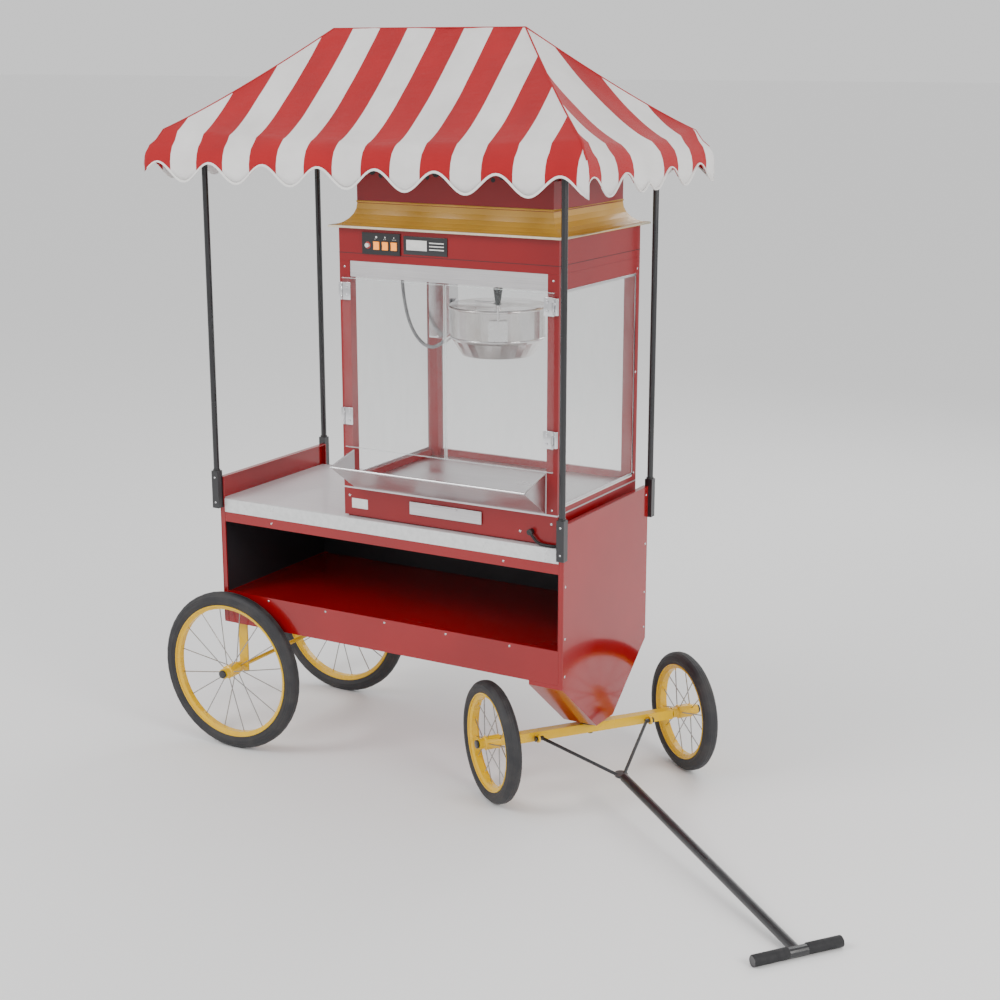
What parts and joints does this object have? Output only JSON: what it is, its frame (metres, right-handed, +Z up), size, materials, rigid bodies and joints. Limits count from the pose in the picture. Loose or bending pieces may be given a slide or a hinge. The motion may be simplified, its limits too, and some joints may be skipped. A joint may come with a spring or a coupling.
{
  "type": "popcorn machine",
  "caption": "Popcorn machine with a glazed cabinet and tilting kettle, standing on a wheeled wagon with a striped hipped canopy and a steered drawbar.",
  "frame": {"origin": "middle of the whole object's footprint, on the floor", "axes": "+X along the wagon towards the drawbar, +Y away from the operator's side, +Z up"},
  "size_m": [2.332, 1.181, 2.168],
  "materials": {
    "wagon_red": "glossy enamel",
    "cabinet_black": "satin",
    "tube_black": "semi-gloss",
    "deck_laminate": "satin laminate",
    "deck_trim": "white moulding",
    "canopy_cloth": "matt, red and white stripes",
    "wheel_yellow": "glossy enamel",
    "tyre_rubber": "matt",
    "stainless": "brushed",
    "roof_gold": "satin gold",
    "clear_panel": "clear",
    "lamp_glass": "frosted",
    "lit_rocker": "amber",
    "button_white": "gloss",
    "kettle_conduit": "grey flexible conduit",
    "lead_black": "matt"
  },
  "bodies": {
    "wagon": {"end_panel_right": "wagon_red", "end_panel_left": "wagon_red", "front_apron": "wagon_red", "front_skirt": "wagon_red", "back_panel": "cabinet_black", "shelf_floor": "wagon_red", "deck": "deck_laminate", "deck_moulding": "deck_trim", "pedestal": "wagon_red", "canopy_post_front_left": "tube_black", "canopy_post_front_right": "tube_black", "canopy_post_back_left": "tube_black", "canopy_post_back_right": "tube_black", "canopy_frame": "tube_black", "canopy_cover": "canopy_cloth", "rear_axle": "wheel_yellow", "king_pin": "cabinet_black", "machine_base": "wagon_red", "floor_pan": "stainless", "spill_tray": "stainless", "cabinet_frame": "wagon_red", "top_housing": "wagon_red", "ceiling_panel": "stainless", "roof_skirt": "roof_gold", "roof_crest": "wagon_red", "glass_left": "clear_panel", "glass_right": "clear_panel", "glass_back": "clear_panel", "drive_column": "stainless", "drive_motor": "cabinet_black", "heat_lamp": "lamp_glass", "kettle_lead": "kettle_conduit", "control_plate": "tube_black", "strain_relief": "lead_black", "mains_lead": "lead_black", "mains_coil": "lead_black", "mains_plug": "lead_black"},
    "rear_near_roller": {"rear_near_tyre": "tyre_rubber", "rear_near_wheel": "wheel_yellow"},
    "rear_far_roller": {"rear_far_tyre": "tyre_rubber", "rear_far_wheel": "wheel_yellow"},
    "front_near_roller": {"front_near_tyre": "tyre_rubber", "front_near_wheel": "wheel_yellow"},
    "front_far_roller": {"front_far_tyre": "tyre_rubber", "front_far_wheel": "wheel_yellow"},
    "steered_axle": {"front_axle": "wheel_yellow"},
    "drawbar": {"drawbar_fork": "tube_black", "drawbar_handle": "tube_black"},
    "left_door": {"door_left": "clear_panel"},
    "right_door": {"door_right": "clear_panel"},
    "kettle_group": {"kettle": "stainless", "dump_handle": "tube_black"},
    "lid_flap": {"kettle_lid": "stainless"},
    "stirrer": {"agitator": "stainless"},
    "spindle": {"drive_shaft": "stainless"},
    "drawer": {"kernel_drawer": "stainless"},
    "lamp_switch": {"rocker_lamp": "lit_rocker"},
    "heat_switch": {"rocker_kettle_heat": "lit_rocker"},
    "motor_switch": {"rocker_kettle_motor": "lit_rocker"},
    "reset": {"reset_button": "button_white"}
  },
  "joints": [
    {"name": "rear_near_spin", "type": "hinge", "parent": "wagon", "child": "rear_near_roller", "pos_m": [-0.916, -0.09698, 0.25], "axis": [0, 1, 0], "continuous": true},
    {"name": "rear_far_spin", "type": "hinge", "parent": "wagon", "child": "rear_far_roller", "pos_m": [-0.916, 0.49202, 0.25], "axis": [0, 1, 0], "continuous": true},
    {"name": "steer", "type": "hinge", "parent": "wagon", "child": "steered_axle", "pos_m": [0.1745, 0.19752, 0.19], "axis": [0, 0, 1], "range_deg": [-8, 81]},
    {"name": "front_near_spin", "type": "hinge", "parent": "steered_axle", "child": "front_near_roller", "pos_m": [-0.01373, -0.05318, 0.179], "axis": [0.6004, 0.7997, 0], "continuous": true},
    {"name": "front_far_spin", "type": "hinge", "parent": "steered_axle", "child": "front_far_roller", "pos_m": [0.36274, 0.44822, 0.179], "axis": [0.6004, 0.7997, 0], "continuous": true},
    {"name": "drawbar_pitch", "type": "hinge", "parent": "steered_axle", "child": "drawbar", "pos_m": [0.20009, 0.17831, 0.18], "axis": [-0.6004, -0.7997, 0], "range_deg": [0, 38]},
    {"name": "door_left_swing", "type": "hinge", "parent": "wagon", "child": "left_door", "pos_m": [-0.5, -0.06098, 1.24], "axis": [0, 0, -1], "range_deg": [0, 170]},
    {"name": "door_right_swing", "type": "hinge", "parent": "wagon", "child": "right_door", "pos_m": [0.18, -0.06098, 1.24], "axis": [0, 0, 1], "range_deg": [0, 138]},
    {"name": "kettle_tilt", "type": "hinge", "parent": "wagon", "child": "kettle_group", "pos_m": [-0.138, 0.24252, 1.386], "axis": [1, 0, 0], "range_deg": [0, 95]},
    {"name": "lid_lift", "type": "hinge", "parent": "kettle_group", "child": "lid_flap", "pos_m": [-0.138, 0.18752, 1.4028], "axis": [-1, 0, 0], "range_deg": [0, 35]},
    {"name": "spindle_spin", "type": "hinge", "parent": "wagon", "child": "spindle", "pos_m": [-0.138, 0.19752, 1.5], "axis": [0, 0, 1], "continuous": true},
    {"name": "stirrer_spin", "type": "hinge", "parent": "kettle_group", "child": "stirrer", "pos_m": [-0.138, 0.19752, 1.4], "axis": [0, 0, 1], "continuous": true},
    {"name": "drawer_slide", "type": "slide", "parent": "wagon", "child": "drawer", "axis": [0, -1, 0], "range_m": [0, 0.2]},
    {"name": "lamp_rock", "type": "hinge", "parent": "wagon", "child": "lamp_switch", "pos_m": [-0.382, -0.05398, 1.579], "axis": [1, 0, 0], "range_deg": [-8, 8]},
    {"name": "heat_rock", "type": "hinge", "parent": "wagon", "child": "heat_switch", "pos_m": [-0.353, -0.05398, 1.579], "axis": [1, 0, 0], "range_deg": [-8, 8]},
    {"name": "motor_rock", "type": "hinge", "parent": "wagon", "child": "motor_switch", "pos_m": [-0.324, -0.05398, 1.579], "axis": [1, 0, 0], "range_deg": [-8, 8]},
    {"name": "reset_press", "type": "slide", "parent": "wagon", "child": "reset", "axis": [0, 1, 0], "range_m": [0, 0.0022], "stiffness_N_per_m": 300}
  ],
  "couplings": [
    {"joint": "stirrer_spin", "follows": "spindle_spin", "ratio": 1}
  ]
}
